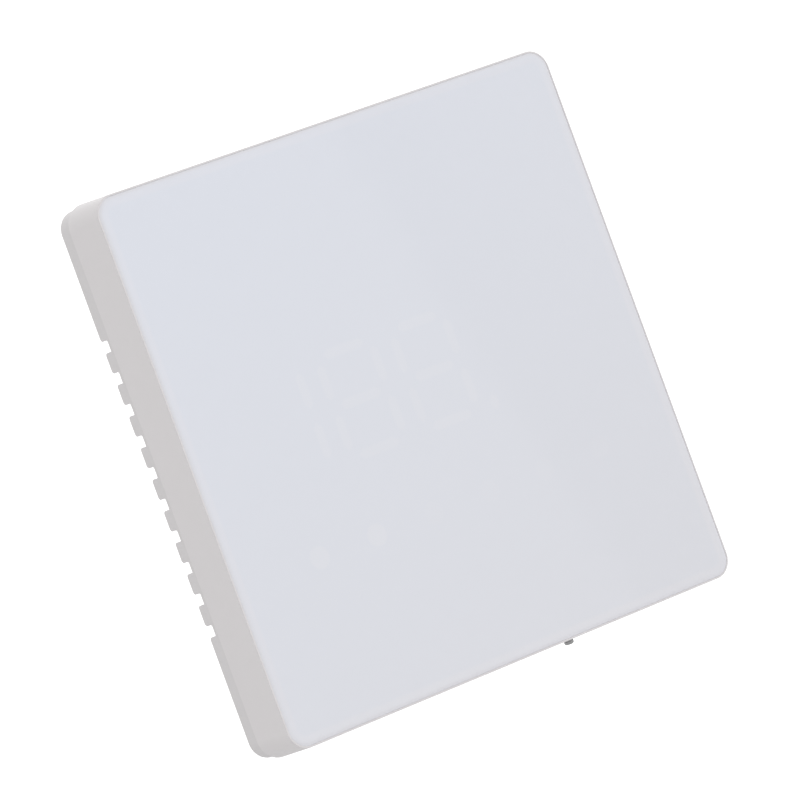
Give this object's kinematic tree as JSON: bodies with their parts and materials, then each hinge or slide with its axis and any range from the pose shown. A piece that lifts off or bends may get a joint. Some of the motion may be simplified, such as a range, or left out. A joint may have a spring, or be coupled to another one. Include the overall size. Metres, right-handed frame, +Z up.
{
  "type": "wall thermostat",
  "caption": "Slim square surface-mounted room thermostat with a hidden touch display, a comb-vented wall plate and a locking set screw.",
  "frame": {"origin": "centre of the face that lies on the wall, midway between the two fixing slots", "axes": "+X right as seen from the room, +Y into the wall, +Z up; the display faces -Y"},
  "size_m": [0.086, 0.0112, 0.0868],
  "materials": {
    "shell_plastic": "fine satin white moulded ABS-PC",
    "plate_plastic": "satin white moulded ABS-PC",
    "panel_acrylic": "white-backed clear acrylic, semi-gloss",
    "adhesive_tape": "black double-sided foam tape",
    "foil_film": "amber polyimide film",
    "diffuser_film": "frosted film",
    "reflector_plastic": "opaque white moulding",
    "led_lens": "clear epoxy over phosphor",
    "board_laminate": "green solder mask",
    "chip_plastic": "black moulded epoxy",
    "ferrite": "pressed ferrite",
    "crystal_can": "nickel-plated can",
    "capacitor_ceramic": "tan ceramic",
    "resistor_black": "black glaze",
    "gold_contact": "gold-plated",
    "switch_plastic": "black nylon",
    "plunger_plastic": "red nylon",
    "terminal_plastic": "dark grey nylon",
    "plated_steel": "bright zinc-plated steel",
    "brass_insert": "turned brass",
    "screw_steel": "stainless steel"
  },
  "bodies": {
    "wall_plate": {"wall_plate": "plate_plastic", "terminal_block": "terminal_plastic", "terminal_cages": "plated_steel", "terminal_screws": "plated_steel", "contact_springs": "gold_contact"},
    "front_unit": {"front_housing": "shell_plastic", "front_panel": "panel_acrylic", "panel_tape": "adhesive_tape", "touch_foil": "foil_film", "foil_connector": "switch_plastic", "display_diffuser": "diffuser_film", "display_reflector": "reflector_plastic", "segment_leds": "led_lens", "key_leds": "led_lens", "main_board": "board_laminate", "microcontroller": "chip_plastic", "touch_controller": "chip_plastic", "led_driver": "chip_plastic", "bus_transceiver": "chip_plastic", "voltage_regulator": "chip_plastic", "power_inductor": "ferrite", "quartz_crystal": "crystal_can", "temperature_sensor": "crystal_can", "capacitors": "capacitor_ceramic", "resistors": "resistor_black", "contact_pads": "gold_contact", "reset_switch": "switch_plastic", "back_cover": "plate_plastic", "cover_screws": "plated_steel", "lock_insert": "brass_insert"},
    "lock_screw": {"lock_screw": "screw_steel"},
    "reset_plunger": {"reset_plunger": "plunger_plastic"}
  },
  "joints": [
    {"name": "front_unit_swing", "type": "hinge", "parent": "wall_plate", "child": "front_unit", "pos_m": [0, -0.00305, 0.043], "axis": [-1, 0, 0], "range_deg": [0, 10]},
    {"name": "lock_screw_travel", "type": "slide", "parent": "front_unit", "child": "lock_screw", "axis": [0, 0, 1], "range_m": [0, 0.0012]},
    {"name": "reset_press", "type": "slide", "parent": "front_unit", "child": "reset_plunger", "axis": [0, -1, 0], "range_m": [0, 0.00025], "stiffness_N_per_m": 3000, "springref_m": -0.0002}
  ]
}
